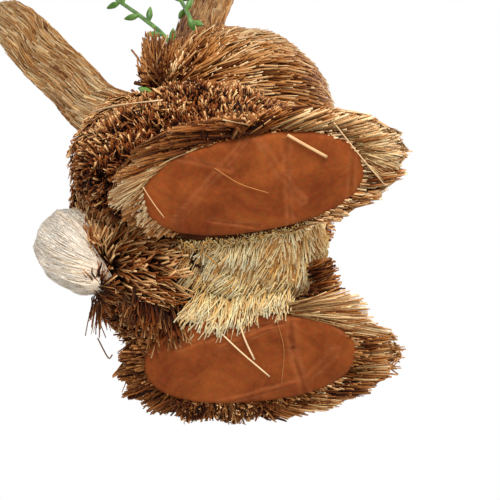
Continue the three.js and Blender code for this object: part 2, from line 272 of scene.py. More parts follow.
def scatter(node, count, draw, near=None):
    """Points spread by area over a node's shell, outside its neighbours: (points, normals)."""
    bm = SHELLS[node]
    corner, faces = form_of(bm)
    smooth = np.array([v.normal for v in bm.verts])
    area = np.array([f.calc_area() for f in bm.faces])
    made, facing, got = [], [], 0
    for _ in range(6):
        pick = draw.choice(len(faces), count, p=area / area.sum())
        share = draw.dirichlet((1, 1, 1), count)[:, :, None]
        points = (corner[faces[pick]] * share).sum(1)
        normals = unit((smooth[faces[pick]] * share).sum(1))
        free = np.ones(count, bool) if near is None else near(points, normals)
        for other, tree in TREES.items():
            if other == node:
                continue
            low, high = BOXES[other]
            for k in np.where(free & ((points > low) & (points < high)).all(1))[0]:
                spot, out, _, _ = tree.find_nearest(Vector(points[k]))
                if (Vector(points[k]) - spot).dot(out) < -OVERLAP:
                    free[k] = False
        made.append(points[free])
        facing.append(normals[free])
        got += int(free.sum())
        if got >= count:
            break
    return np.concatenate(made)[:count], np.concatenate(facing)[:count]


def straw_form(parts):
    """A closed three-sided straw of unit length and width along +Z, in `parts` lengths."""
    bm = bmesh.new()
    bmesh.ops.create_cone(bm, cap_ends=True, segments=3, radius1=0.5, radius2=0.5, depth=1)
    bmesh.ops.translate(bm, verts=bm.verts, vec=(0, 0, 0.5))
    for step in range(1, parts):
        bmesh.ops.bisect_plane(bm, geom=bm.verts[:] + bm.edges[:] + bm.faces[:],
                               plane_co=(0, 0, step / parts), plane_no=(0, 0, 1))
    bmesh.ops.triangulate(bm, faces=bm.faces)
    bmesh.ops.recalc_face_normals(bm, faces=bm.faces)
    bm.verts.index_update()
    form = form_of(bm)
    bm.free()
    return form


FORMS = {parts: straw_form(parts) for parts in (1, 2, 3)}
GROUND = -0.0017                               # no straw reaches lower
PAPER_FACE, PAPER_TOP = -0.0003, 0.0048        # a straw over a sole lies below the one or above the other
FRINGE_LEVEL, SHEAF_LEVEL = 0.0055, 0.0056     # where fringe and sheaves go in over the paper
FULL_TURN = np.linspace(0, math.tau, 181)
FAR_OUT = 0.2                                  # a start well outside any node


def rim_of(node, levels):
    """A node's middle, and how far its widest outline at some levels lies from it, all round."""
    middle = (BOXES[node][0] + BOXES[node][1]) / 2
    rim = np.zeros(len(FULL_TURN))
    for level in levels:
        for k, turn in enumerate(FULL_TURN):
            way = Vector((math.cos(turn), math.sin(turn), 0))
            start = Vector((middle[0], middle[1], level)) + way * FAR_OUT
            hit = TREES[node].ray_cast(start, -way)[0]
            rim[k] = max(rim[k], FAR_OUT - (hit - start).length if hit else 0)
    return middle, rim


def beyond(points, middle, rim):
    """How far outside a rim points lie, seen from below."""
    gap = points[..., :2] - middle[:2]
    turn = np.mod(np.arctan2(gap[..., 1], gap[..., 0]), math.tau)
    return np.hypot(gap[..., 0], gap[..., 1]) - np.interp(turn, FULL_TURN, rim)


SOLE_RIMS = [rim_of(sole, (0.002,)) for sole in ("sole_left", "sole_right")]


def under_sole(points, margin):
    """Whether each point lies within a sole's outline, seen from below."""
    return np.any([beyond(points, *rim) < margin for rim in SOLE_RIMS], axis=0)


def strew(line, width, tint, draw, out=None, flat=0.6, thin=0.85):
    """A straw along each run of points, root first: (corners, triangles, tint, share along it)."""
    parts = line.shape[1] - 1
    inside, above, below = under_sole(line, -0.0004), line[..., 2] > PAPER_TOP, line[..., 2] < PAPER_FACE
    buried = (inside & ~above & ~below).any(1)
    pierced = (inside & above).any(1) & (inside & below).any(1)
    kept = (line[..., 2].min(1) > GROUND) & ~buried & ~pierced
    line, width, tint = line[kept], width[kept], tint[kept]
    out = draw.normal(size=(len(line), 1, 3)) if out is None else out[kept]
    form, faces = FORMS[parts]
    ring = np.rint(form[:, 2] * parts).astype(int)
    way = unit(line[:, np.minimum(ring + 1, parts)] - line[:, np.maximum(ring - 1, 0)])
    up = np.broadcast_to(out, line.shape)[:, ring]
    side = unit(np.cross(way, up))
    up = np.cross(side, way)
    broad = (width[:, None] * (1 - (1 - thin) * form[:, 2]))[..., None]
    corners = line[:, ring] + side * broad * form[:, 1, None] + up * broad * flat * form[:, 0, None]
    triangles = (faces[None] + (np.arange(len(line)) * len(form))[:, None, None]).reshape(-1, 3)
    along = np.tile(form[:, 2], len(line))
    return corners.reshape(-1, 3), triangles, np.repeat(np.clip(tint, 0, 1), len(form)), along


def laid(node, count, draw, heading, long, wide, tint_of, parts=3, near=None, wander=0.1, flat=0.45,
          thin=0.8, lift=(-0.0008, 0.0007), tip_lift=0.0006, keep=0.45):
    """Straws that lie along a node's shell and follow it from root to tip."""
    points, normals = scatter(node, count, draw, near)
    bm, tree = SHELLS[node], TREES[node]
    smooth = np.array([sum((v.normal for v in f.verts), Vector()).normalized() for f in bm.faces])
    length = draw.uniform(*long, len(points))
    stray = wander * draw.normal(size=points.shape)
    line, out = [points], [normals]
    for _ in range(parts):
        way = unit(heading(line[-1])) + stray
        way = unit(way - out[-1] * (way * out[-1]).sum(1, keepdims=True))
        ahead = line[-1] + way * (length / parts)[:, None]
        found = [tree.find_nearest(Vector(p)) for p in ahead]
        line.append(np.array([f[0] for f in found]) * 0.92 + ahead * 0.08)
        out.append(smooth[[f[2] for f in found]])
    line, out = np.stack(line, 1), np.stack(out, 1)
    straight = ((line[:, -1] - points) * unit(heading(points))).sum(1) > keep * length
    line, out, points = line[straight], out[straight], points[straight]
    height = draw.uniform(*lift, len(points))[:, None] + np.linspace(-0.0012, tip_lift, parts + 1)
    return strew(line + out * height[..., None], draw.uniform(*wide, len(points)), tint_of(points), draw,
                 out, flat, thin)


def read_off(at, steps, rows):
    """Rows of three values read off between the given steps."""
    return np.stack([np.interp(at, steps, rows[:, k]) for k in range(3)], 1)


def fan(node, roots, tips, count, width, tint, draw, late=0.45, loose=0.001):
    """A sheaf of straws from a run of roots to a run of tips, in shares of a node's box; width in mm."""
    low, high = BOXES[node]
    pick, ends = draw.random(count), []
    for run in (roots, tips):
        run = low + (high - low) * np.array(run)
        ends.append(read_off(pick * (len(run) - 1), np.arange(len(run)), run))
        ends[-1] += draw.normal(size=(count, 3)) * np.array([loose, loose, 0.0004])
        pick = np.clip(pick + 0.05 * draw.normal(size=count), 0, 1)
    root, tip = ends
    tip = root + (tip - root) * draw.uniform(0.72, 1.02, (count, 1))
    root = root + (tip - root) * draw.uniform(0, late, (count, 1))
    knee = root * 0.45 + tip * 0.55 + 0.0005 * draw.normal(size=tip.shape)
    crossing = tip[:, 2] < 0
    for point in (root, knee, tip):
        inside = under_sole(point, 0.0004)
        under = draw.uniform(-0.0011, -0.0005, count)
        level = np.where(crossing, under, np.maximum(point[:, 2], SHEAF_LEVEL))
        point[:, 2] = np.where(inside, level, point[:, 2])
    widths = width * MM * draw.uniform(0.7, 1.3, count)
    return strew(np.stack([root, knee, tip], 1), widths, tint + 0.2 * draw.normal(size=count), draw)


def bed(node, depth, shade=0.1, tint=0.3):
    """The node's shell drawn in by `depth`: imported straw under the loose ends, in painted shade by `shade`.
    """
    bm = SHELLS[node]
    corners = np.array([v.co - v.normal * depth for v in bm.verts])
    return corners, form_of(bm)[1], np.full(len(corners), tint), np.full(len(corners), shade)


def build(name, parts, material, body_slot, *nodes):
    """One mesh piece from several (corners, triangles, tint, along) parts."""
    start = np.cumsum([0] + [len(part[0]) for part in parts])
    corners = np.concatenate([part[0] for part in parts]).astype(np.float32)
    faces = np.concatenate([part[1] + start[k] for k, part in enumerate(parts)]).astype(np.int32)
    mesh = bpy.data.meshes.new(name)
    mesh.vertices.add(len(corners))
    mesh.vertices.foreach_set("co", corners.ravel())
    mesh.loops.add(faces.size)
    mesh.loops.foreach_set("vertex_index", faces.ravel())
    mesh.polygons.add(len(faces))
    mesh.polygons.foreach_set("loop_start", np.arange(0, faces.size, 3, dtype=np.int32))
    mesh.update(calc_edges=True)
    for label, column in (("tint", 2), ("along", 3)):
        values = np.concatenate([part[column] for part in parts]).astype(np.float32)
        mesh.attributes.new(label, "FLOAT", "POINT").data.foreach_set("value", values)
    mesh.materials.append(material)
    place(put(name, mesh), body_slot, *nodes)


# The shared finish: each straw's own tint picks its colour, with painted shade towards its root.
straw_tone = bpy.data.node_groups.new("straw_tone", "ShaderNodeTree")
for way, sockets in (("INPUT", dict(Dark="Color", Mid="Color", Light="Color", Root="Float", Mottle="Float")),
                     ("OUTPUT", dict(Colour="Color", Normal="Vector"))):
    for label, kind in sockets.items():
        straw_tone.interface.new_socket(label, in_out=way, socket_type="NodeSocket" + kind)
given = straw_tone.nodes.new("NodeGroupInput").outputs
result = straw_tone.nodes.new("NodeGroupOutput").inputs


def ranged(value, **ends):
    """The socket of a value carried to another range, in the group."""
    return add(straw_tone, "MapRange", Value=value, **ends).outputs["Result"]


tint_value, along_value = own_value(straw_tone, "tint"), own_value(straw_tone, "along")
tone = mixed(straw_tone, ranged(tint_value, From_Max=0.5), given["Dark"], given["Mid"])
tone = mixed(straw_tone, ranged(tint_value, From_Min=0.5), tone, given["Light"])
# Painted shade: towards its root a straw's colour is deepened, then darkened down to the root shade.
root_shade_tone = add(straw_tone, "Gamma", Color=tone, Gamma=ranged(along_value, From_Min=0.1, To_Min=1.7, To_Max=1.0))
grain = noise_in(straw_tone, Scale=700, Detail=2)
shade = add(straw_tone, "Math")
shade.operation = "MULTIPLY"
wire(straw_tone, ranged(grain.outputs["Fac"], To_Min=given["Mottle"], To_Max=1.25), shade.inputs[0])
wire(straw_tone, ranged(along_value, From_Min=0.12, To_Min=given["Root"], To_Max=1.08), shade.inputs[1])
shaded = add(straw_tone, "VectorMath")
shaded.operation = "SCALE"
wire(straw_tone, root_shade_tone.outputs["Color"], shaded.inputs[0])
wire(straw_tone, shade.outputs["Value"], shaded.inputs["Scale"])
wire(straw_tone, shaded.outputs["Vector"], result["Colour"])
bump = add(straw_tone, "Bump", Height=grain.outputs["Fac"], Strength=0.3, Distance=0.0003)
wire(straw_tone, bump.outputs["Normal"], result["Normal"])


def straw_material(name, dark, mid, light, root=0.2, rough=0.6, gloss=0.12, mottle=0.72):
    """A straw finish from dark through mid to light by each straw's tint, and painted shade at its root."""
    material, tree, shader = new_material(name)
    group = add(tree, "Group")
    group.node_tree = straw_tone
    feed(tree, group, Dark=srgb(*dark), Mid=srgb(*mid), Light=srgb(*light), Root=root, Mottle=mottle)
    feed(tree, shader, Base_Color=group.outputs["Colour"], Normal=group.outputs["Normal"], Roughness=rough,
         Specular_IOR_Level=gloss)
    return material


foot_straw = straw_material("foot_straw", (82, 36, 9), (192, 130, 72), (255, 228, 180), root=0.48)
# A fringe's tint at the heel and what the toe adds, how far its sides point outward, and how far the
# heel's straws curve inward.
FRINGE_TINT = {"left": (0.28, 0.14), "right": (0.5, 0.2)}
SPLAY = {"left": 1.0, "right": 0.4}
SWEEP = {"left": 0.0, "right": 0.9}
# Sheaves tied in at the heel and the toe: roots, tips, how many, their width in mm and their tint.
FOOT_FANS = {
    "left": [([(0.05, 0.38, 0.03), (0.14, 0.36, 0.02)],
              [(-0.03, 0.17, 0.03), (0.05, 0.12, 0.03), (0.14, 0.10, 0.02), (0.24, 0.09, 0.01),
               (0.37, 0.03, 0.01), (0.42, 0.01, 0.01)], 230, 1.3, 0.74),
             ([(0.42, 0.14, 0.03), (0.62, 0.16, 0.03)],
              [(0.44, 0.005, 0.03), (0.53, -0.01, 0.03), (0.62, 0.0, 0.03), (0.72, 0.035, 0.03)],
              90, 1.1, 0.5),
             ([(-0.20, 0.30, 0.28), (0.02, 0.28, 0.2)],
              [(-0.25, 0.20, 0.28), (-0.16, 0.19, 0.25), (0.01, 0.175, 0.2)], 130, 1.2, 0.32)],
    "right": [([(0.20, 0.62, 0.02), (0.24, 0.72, 0.0), (0.32, 0.79, 0.0)],
               [(0.40, 0.95, 0.0), (0.47, 1.0, 0.0), (0.54, 1.01, 0.0), (0.59, 0.98, 0.0),
                (0.67, 0.94, 0.0), (0.78, 0.92, 0.0)], 240, 1.2, 0.84),
              ([(0.34, 0.22, 0.0), (0.38, 0.20, 0.0)],
               [(0.26, 0.09, 0.0), (0.35, 0.03, 0.0), (0.43, 0.01, 0.0), (0.52, 0.03, 0.0),
                (0.57, 0.05, 0.0), (0.66, 0.09, 0.0)], 170, 1.1, 0.76)],
}

for side_name, seed in (("left", 11), ("right", 12)):
    node = "foot_" + side_name
    draw = np.random.default_rng(seed)
    low, high = BOXES["sole_" + side_name]
    centre, half = (low + high) / 2, (high - low) / 2
    outer = np.sign(centre[0])

    def shares(points):
        """How far towards the toe and the outer side points of this foot lie."""
        return (centre[1] - points[:, 1]) / half[1], (points[:, 0] - centre[0]) * outer / half[0]

    def foot_way(points):
        """Forward along the sole's edges and round the toe, outward at the heel."""
        toe, out = shares(points)
        focus = np.clip(points[:, 1], centre[1] + 0.05 * half[1], centre[1] + 0.4 * half[1])
        radial = unit(np.stack([points[:, 0] - centre[0], points[:, 1] - focus, np.zeros(len(points))], 1))
        front = np.clip((toe + 0.45) / 0.8, 0, 1)[:, None]
        side = np.clip(1 - toe / 0.4, 0, 1) * np.where(out > 0, SPLAY[side_name], 0.2)
        inner = (out < -0.55) & (toe > -0.75)
        ahead = np.array([[0.0, -1.0, 0.0]])
        spread = (0.42 + 0.58 * side * (1 - 0.5 * front[:, 0]))[:, None]
        way = radial * spread + ahead * (1.1 * front - 0.2 + 1.2 * inner[:, None])
        heel = np.clip(-toe / 0.3, 0, 1)[:, None] * SWEEP[side_name]
        return way + heel * np.array([[-0.6 * outer, 0.9, 0.0]]) + 0.07 * waves(points, 0.014, 3)

    def foot_tint(points):
        """Brown round the heel and the outer side, paler at the toe."""
        toe, out = shares(points)
        heel_tint, toe_gain = FRINGE_TINT[side_name]
        tint = heel_tint + toe_gain * np.clip(toe + 0.3, 0, 1) - 0.2 * ((out > 0.8) & (toe < 0.45))
        tint += 0.14 * waves(points, 0.008, 5)[:, 0]
        return tint + 0.16 * np.random.default_rng(13).normal(size=len(points))

    def rim_side(points, normals):
        """The underside, but not the inner edge that the belly's bristle covers."""
        toe, out = shares(points)
        return (normals[:, 2] < -0.3) & ((out > -0.5) | (toe > 0.4) | (toe < -0.75))

    # The fringe: each straw is rooted over the paper, lies along the rim and ends at the foot's outline.
    parts = [bed(node, 0.004, 0.12)]
    points, _ = scatter(node, 3100, draw, rim_side)
    way = unit(foot_way(points) + 0.05 * draw.normal(size=points.shape) * np.array([1, 1, 0.3]))
    length = draw.uniform(0.014, 0.026, len(points))[:, None]
    points[:, 2] = draw.uniform(0.0004, 0.0034, len(points))
    root, tip = points - way * length * 0.6, points + way * length * 0.4
    root[:, 2] = np.where(under_sole(root, 0.0006), draw.uniform(FRINGE_LEVEL, 0.009, len(root)), root[:, 2])
    tip[:, 2] = np.maximum(tip[:, 2], 0.0002)
    knee = (root + tip) / 2 + 0.0004 * draw.normal(size=root.shape)
    low_knee = under_sole(knee, 0.0006)
    knee[:, 2] = np.maximum(knee[:, 2], np.where(low_knee, FRINGE_LEVEL, 0.0002))
    line = np.stack([root, knee, tip], 1)
    rim = rim_of(node, (0.003, 0.008, 0.014))
    reach = draw.uniform(-0.0025, 0.0022, len(line))
    for _ in range(9):
        far = beyond(line[:, -1], *rim) > reach
        line[far, 1:] = line[far, :1] + (line[far, 1:] - line[far, :1]) * 0.85
    parts.append(strew(line, draw.uniform(0.0007, 0.0018, len(line)), foot_tint(points), draw,
                       np.array([[[0.0, 0.0, -1.0]]] * len(line)), 0.5))
    parts += [fan(node, *sheaf, draw) for sheaf in FOOT_FANS[side_name]]
    parts.append(laid(node, 1700, draw, foot_way, (0.014, 0.026), (0.0008, 0.0018), foot_tint, parts=2,
                      wander=0.06,
                      near=lambda p, n: (n[:, 2] > -0.3) & ((n * unit(foot_way(p))).sum(1) < 0.6)))
    build(node + "_straw", parts, foot_straw, "tan_straw", node)


# ---------------------------------------- haunches
# The thighs are thick bundles of brown straw and fibre, packed on end and cut to a rounded form.
# Only the cut ends show, in curled tufts with dark gaps between them.
brown_straw = straw_material("brown_straw", (72, 24, 2), (162, 92, 38), (252, 206, 146), root=0.1)


def tufts(node, count, draw, lean, loose=0.3, clump=0.4, size=0.006, long=(0.005, 0.01), out=0.0009,
          wide=(0.0007, 0.0017), base=0.44, near=None, curled=0.6, sparse=-1.0, spread=0.26, flat=0.35):
    """Cut ends standing on a node's shell, leaning by `lean`, in tufts about `size` across."""
    points, normals = scatter(node, count, draw, near)
    tuft = waves(points, size * 0.3, 33)
    kept = tuft[:, 2] > sparse
    points, normals, tuft = points[kept], normals[kept], tuft[kept]
    way = normals * 0.8 + lean(points, normals) + clump * waves(points, size, 21)
    way = unit(way + loose * draw.normal(size=points.shape))
    below = (way * normals).sum(1, keepdims=True)
    way = unit(way + normals * np.maximum(0.25 - below, 0))
    length = draw.uniform(*long, len(points))[:, None]
    tip = points + normals * (out * (tuft[:, :1] + 0.6 * draw.normal(size=(len(points), 1))))
    tint = base + 0.16 * waves(points, 0.014, 5)[:, 1] + 0.1 * tuft[:, 0]
    tint += spread * draw.normal(size=len(points))
    root = tip - way * length
    width = draw.uniform(*wide, len(points))
    bent = draw.random(len(points)) < curled      # these end in a small hook
    plain = np.stack([root, tip], 1)[~bent]
    knee = tip[bent] - way[bent] * length[bent] * 0.35
    hook = tip[bent] + 0.3 * length[bent] * draw.uniform(-1, 1, knee.shape) - normals[bent] * 0.0014
    return [strew(plain, width[~bent], tint[~bent], draw, None, flat),
            strew(np.stack([root[bent], knee, hook], 1), width[bent], tint[bent], draw, None, flat)]


for side_name, seed, outer in (("left", 21, 1), ("right", 22, -1)):
    draw = np.random.default_rng(seed)
    low, high = BOXES["sole_" + side_name]
    ankle = np.array([(low[0] + high[0]) / 2, low[1] + 0.62 * (high[1] - low[1]), 0.02])

    def haunch_lean(points, normals):
        """Away from the ankle, and a little forward and up on the flank."""
        away = unit((points - ankle) * np.array([1, 1, 0.6]))
        return 0.4 * away + np.array([[0.0, -0.18, 0.12]])

    def outer_edge(points, normals):
        """The foot's outer side behind the toe, where the haunch hangs over it."""
        share = (points[:, 1] - low[1]) / (high[1] - low[1])
        return ((points[:, 0] - (low[0] + high[0]) / 2) * outer > 0.019) & (share > 0.3) & (share < 0.86)

    node = "haunch_" + side_name
    parts = [bed(node, 0.005, 0.16)] + tufts(node, 11300, draw, haunch_lean)
    parts += tufts("foot_" + side_name, 1500, draw, haunch_lean, near=outer_edge, out=0.0003)
    build(node + "_straw", parts, brown_straw, "brown_straw", node)


# ---------------------------------------- body
# The trunk is one big bundle of brown straw, bound at the neck and cut round below.
# Its rump shows longer ends that spread from the tail's root.
tail_low, tail_high = BOXES["tail"]
tail_root = np.array([(tail_low[0] + tail_high[0]) / 2, tail_low[1] + 0.004, tail_low[2] + 0.012])
head_low, head_high = BOXES["head"]
head_size = head_high - head_low
neck_tie = head_low + head_size * np.array([0.16, 0.9, 0.2])


def body_lean(points, normals):
    """Away from the tail's root near it, away from the neck tie above."""
    gap = points - tail_root
    near = np.clip(1.3 - np.linalg.norm(gap, axis=1) / 0.05, 0, 1)[:, None]
    high_up = np.clip((points[:, 2:] - 0.09) / 0.05, 0, 1)
    return 0.9 * near * unit(gap) + 0.7 * high_up * unit(points - neck_tie) + np.array([[-0.15, 0.1, 0.1]])


def creamy(points):
    """The part in front that bleached bristle covers."""
    return (points[:, 1] < 0.004) & (points[:, 2] < 0.03)


def back_way(points):
    """Down the back from the neck."""
    return np.array([[-0.15, 0.3, -1.0]]) + 0.2 * waves(points, 0.012, 9)


def rump_way(points):
    """Spread over the rump from the tail's root."""
    return unit(points - tail_root) + 0.2 * waves(points, 0.01, 8)


def rump_lean(points, normals):
    """The rump's way, laid flat to the shell."""
    way = rump_way(points)
    return 1.2 * (way - normals * (way * normals).sum(1, keepdims=True))


def rump_tint(points):
    """Golden brown, a little patchy."""
    return 0.66 + 0.14 * waves(points, 0.01, 5)[:, 0] + 0.2 * draw.normal(size=len(points))


def rough_part(points, normals):
    """Where only cut ends show: the flanks and the top, but neither the front below nor the back."""
    upper = (normals[:, 2] > 0) | (points[:, 2] > 0.05)
    return ~creamy(points) & upper & ((points[:, 1] < 0.02) | (normals[:, 1] < 0.2))


draw = np.random.default_rng(31)
rump_look = dict(wide=(0.0008, 0.0019), tint_of=rump_tint, parts=2, flat=0.35, lift=(-0.001, 0.001))
parts = [bed("body", 0.0045, 0.18)]
parts += tufts("body", 6200, draw, body_lean, near=rough_part)
parts.append(laid("body", 2300, draw, back_way, (0.012, 0.024), wander=0.25, tip_lift=0.0028,
                  near=lambda p, n: (p[:, 1] > 0.01) & (p[:, 2] > 0.04), **rump_look))
parts += tufts("body", 1300, draw, rump_lean, near=lambda p, n: ~creamy(p) & (n[:, 2] < 0) & (p[:, 2] < 0.06))
parts.append(laid("body", 2800, draw, rump_way, (0.009, 0.018), wander=0.38, tip_lift=0.003,
                  near=lambda p, n: (p[:, 1] > 0.009) & (n[:, 2] < 0.1) & (p[:, 2] < 0.06), **rump_look))
# Rump straws over the left heel's corner, and the loose ends that spread from the tail's root.
parts.append(fan("body", [(0.54, 0.74, 0.01), (0.68, 0.52, 0.01)],
                 [(0.66, 0.78, 0.0), (0.76, 0.70, -0.042), (0.82, 0.62, -0.042), (0.83, 0.52, -0.042)],
                 190, 1.3, 0.5, draw, late=0.75, loose=0.003))
TAIL_TIPS = [(0.3, 0.34), (0.24, 0.07), (0.45, -0.08), (0.67, -0.11), (0.86, 0.0), (1.2, 0.2), (1.25, 0.33),
             (1.1, 0.39)]
parts.append(fan("tail", [(0.58, 0.20, 0.04), (0.66, 0.22, 0.04)], [(x, y, 0.03) for x, y in TAIL_TIPS],
                 100, 0.9, 0.55, draw, late=0.6, loose=0.002))
build("body_straw", parts, brown_straw, "brown_straw", "body")


# ---------------------------------------- belly
# The belly patch is bleached, cream-coloured bristle set into the trunk's front.
# Its ends lie over towards the left foot.
cream_straw = straw_material("cream_straw", (186, 122, 60), (248, 208, 144), (255, 243, 204), root=0.72,
                             gloss=0.05)


def belly_lean(points, normals):
    """Down towards the left foot, and backwards nearer the tail."""
    low, high = BOXES["belly"]
    back = np.clip((points[:, 1:2] - low[1]) / (high[1] - low[1]), 0, 1)
    slant = np.array([[1.0, 0.15, 0.0]]) + back * np.array([[0.0, 0.9, 0.0]])
    slant = slant - normals * (slant * normals).sum(1, keepdims=True)
    return 1.25 * unit(slant) - 0.35 * normals


draw = np.random.default_rng(41)
parts = [bed("belly", 0.003, 0.75)]
bristle = dict(loose=0.14, clump=0.3, long=(0.008, 0.015), base=0.74, wide=(0.0006, 0.0013), curled=0.08,
               sparse=-1.2, spread=0.24, flat=0.6)
parts += tufts("belly", 9000, draw, belly_lean, **bristle)
parts += tufts("body", 1900, draw, belly_lean, near=lambda p, n: creamy(p), **bristle)
# The lowest ends lie over the inner edge of the left sole.
parts.append(fan("sole_left", [(-0.24, 0.70, 2.4), (-0.2, 0.52, 2.4), (-0.2, 0.42, 2.6), (-0.2, 0.26, 2.8)],
                 [(-0.02, 0.80, -0.2), (0.16, 0.64, -0.2), (0.10, 0.52, -0.2), (0.04, 0.41, -0.1),
                  (0.02, 0.31, -0.1)], 520, 0.9, 0.85, draw, late=0.7, loose=0.0025))
parts.append(fan("sole_right", [(1.0, 0.84, 0.5), (1.01, 0.6, 0.5), (0.98, 0.38, 0.5), (0.88, 0.22, 0.5)],
                 [(1.2, 0.86, 2.8), (1.2, 0.6, 2.8), (1.14, 0.36, 2.8), (1.02, 0.2, 2.8)],
                 520, 0.9, 0.75, draw, late=0.6, loose=0.0015))
build("belly_straw", parts, cream_straw, "cream_straw", "belly")


# ---------------------------------------- forelegs
# Two short bundles of brown straw hang in front of the chest.
# They are bound on at the shoulder and cut off blunt at the paws.
def hang(points, normals):
    """Down and a little forward."""
    return np.array([[0.0, -0.35, -0.75]])


draw = np.random.default_rng(51)
for node in ("foreleg_left", "foreleg_right"):
    parts = [bed(node, 0.002)] + tufts(node, 1300, draw, hang, loose=0.15, clump=0.15, base=0.45,
                                       long=(0.008, 0.016))
    build(node + "_straw", parts, brown_straw, "tan_straw", node)


# ---------------------------------------- head
# The head is a ball of tan straw thatched forward from the tie at the back of the neck.
# The ends overlap towards the face; near the tie they stand up, darker and shaggy.
head_straw = straw_material("head_straw", (96, 42, 10), (196, 136, 76), (254, 224, 176), root=0.42)
draw = np.random.default_rng(61)
reach = head_size.max()


def tie_gap(points):
    """Distance from the neck tie in shares of the head's length."""
    return np.linalg.norm(points - neck_tie, axis=1) / reach


def head_way(points):
    """Forward from the neck tie."""
    return unit(points - neck_tie) + 0.14 * waves(points, 0.02, 4)


def head_tint(points):
    """Browner near the tie, pale towards the face."""
    tint = 0.33 + 0.46 * np.clip(tie_gap(points) * 1.25 - 0.15, 0, 1) + 0.14 * waves(points, 0.013, 5)[:, 0]
    return tint + 0.17 * draw.normal(size=len(points))


def by_tie(points, normals):
    """The part round the tie where the ends stand up."""
    return tie_gap(points) + 0.1 * waves(points, 0.02, 6)[:, 0] < 0.5


parts = [bed("head", 0.002, 0.3)]
parts.append(laid("head", 5900, draw, head_way, (0.014, 0.028), (0.0008, 0.0021), head_tint, parts=2,
                  flat=0.4, tip_lift=0.0009))
parts += tufts("head", 4400, draw, lambda p, n: 1.1 * unit(p - neck_tie), loose=0.2, clump=0.3,
               long=(0.007, 0.014), base=0.52, near=by_tie)
# The ruff: straws bound at the tie that stand up behind the cheek.
RUFF = [(0.07, 0.95, 0.1), (0.08, 0.93, 0.3), (0.08, 0.92, 0.55), (0.08, 0.91, 0.73), (0.09, 0.85, 0.7),
        (0.12, 0.78, 0.72)]
crest = np.array([head_low + head_size * np.array(share) for share in RUFF])
pick = draw.uniform(0, len(crest) - 1, 900)
tip = read_off(pick, np.arange(len(crest)), crest)
tip += draw.normal(size=tip.shape) * np.array([0.004, 0.0015, 0.0015])
root = neck_tie + 0.0025 * draw.normal(size=tip.shape)
start = root + (tip - root) * draw.uniform(0, 0.5, (len(tip), 1))
tip = root + (tip - root) * draw.uniform(0.86, 1.02, (len(tip), 1))
knee = (start + tip) / 2 + 0.001 * draw.normal(size=tip.shape)
parts.append(strew(np.stack([start, knee, tip], 1), draw.uniform(0.0007, 0.0015, len(tip)),
                   0.36 + 0.2 * draw.normal(size=len(tip)), draw))
build("head_straw", parts, head_straw, "tan_straw", "head")


# ---------------------------------------- ears
# Each ear is a long bundle of flat straw strips, laid lengthwise so that they overlap.
# It is tied in at the crown and tapers to a point.
ear_straw = straw_material("ear_straw", (116, 60, 20), (198, 146, 88), (248, 218, 170), root=0.55)
EAR_TINT = {"left": 0.64, "right": 0.33}
draw = np.random.default_rng(71)
for side_name in ("left", "right"):
    node = "ear_" + side_name
    corner = np.array([v.co for v in SHELLS[node].verts])
    steps = np.linspace(corner[:, 2].min(), corner[:, 2].max(), 13)
    middles = []
    for below, above in zip(steps, steps[1:]):
        level = corner[(corner[:, 2] >= below) & (corner[:, 2] <= above)]
        middles.append(level.mean(0) if len(level) else [np.nan] * 3)
    middles = np.array([m for m in middles if not np.isnan(m).any()])
    slope = np.gradient(middles, axis=0)

    def ear_way(points):
        """The ear's own direction at each point's height."""
        return unit(read_off(points[:, 2], middles[:, 2], slope))

    def ear_tint(points):
        """Strips of brown, tan and cream side by side."""
        strips = 0.18 * waves(points, 0.009, 5)[:, 0] + 0.18 * draw.normal(size=len(points))
        return EAR_TINT[side_name] + strips

    parts = [bed(node, 0.0016, 0.4)]
    parts.append(laid(node, 2500, draw, ear_way, (0.026, 0.058), (0.0011, 0.003), ear_tint, wander=0.05,
                      flat=0.22, thin=0.7, lift=(-0.0006, 0.0005), tip_lift=0.0003))
    build(node + "_straw", parts, ear_straw, "tan_straw", node)


# ---------------------------------------- tail
# The tail is a smooth fan of fine bleached fibre.
# It is tied at its root, set into the rump, and cut round at the end.
white_fibre = straw_material("white_fibre", (214, 192, 162), (242, 228, 209), (255, 251, 241), root=0.9,
                             rough=0.5, mottle=0.92)


def tail_tint(points):
    """Nearly white, with a few greyer or yellower threads."""
    return 0.58 + 0.06 * waves(points, 0.006, 5)[:, 0] + 0.17 * draw.normal(size=len(points))


draw = np.random.default_rng(81)
tail_tie = np.array([0, tail_low[1] - 0.002, tail_low[2] + 0.004])
parts = [bed("tail", 0.0009, 0.8, 0.3)]
parts.append(laid("tail", 4300, draw, lambda p: p - tail_tie, (0.014, 0.032), (0.0004, 0.001), tail_tint,
                  wander=0.012, flat=0.18, thin=0.6, lift=(-0.0003, 0.0002), tip_lift=0.0001, keep=0.2))
build("tail_fibre", parts, white_fibre, "white_fibre", "tail")


# ---------------------------------------- face
# The eyes are two dark, glossy beads, and the nose is a brown one.
# Each is pushed into the straw of the face.
BEAD_SHARE, EYE_SINK = 0.9, 0.0016
head_middle = Vector((head_low + head_high) / 2)
for beads, colour, body_slot, sink in ((("eye_left", "eye_right"), (20, 14, 10), "dark_bead", EYE_SINK),
                                       (("nose",), (86, 42, 30), "brown_bead", 0)):
    gloss, tree, shader = new_material(body_slot)
    cloud = noise_in(tree, Scale=300)
    worn = add(tree, "MapRange", Value=cloud.outputs["Fac"], To_Min=0.12, To_Max=0.28)
    feed(tree, shader, Base_Color=srgb(*colour), Roughness=worn.outputs["Result"])
    for node in beads:
        low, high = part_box(node)
        centre = (low + high) / 2
        bm = bmesh.new()
        bmesh.ops.create_uvsphere(bm, u_segments=40, v_segments=24, radius=0.5)
        bmesh.ops.scale(bm, vec=(high - low) * BEAD_SHARE, verts=bm.verts)
        inward = (head_middle - centre).normalized() * sink
        bmesh.ops.translate(bm, vec=centre + inward, verts=bm.verts)
        place(solid(bm, node + "_bead", gloss), body_slot, node)


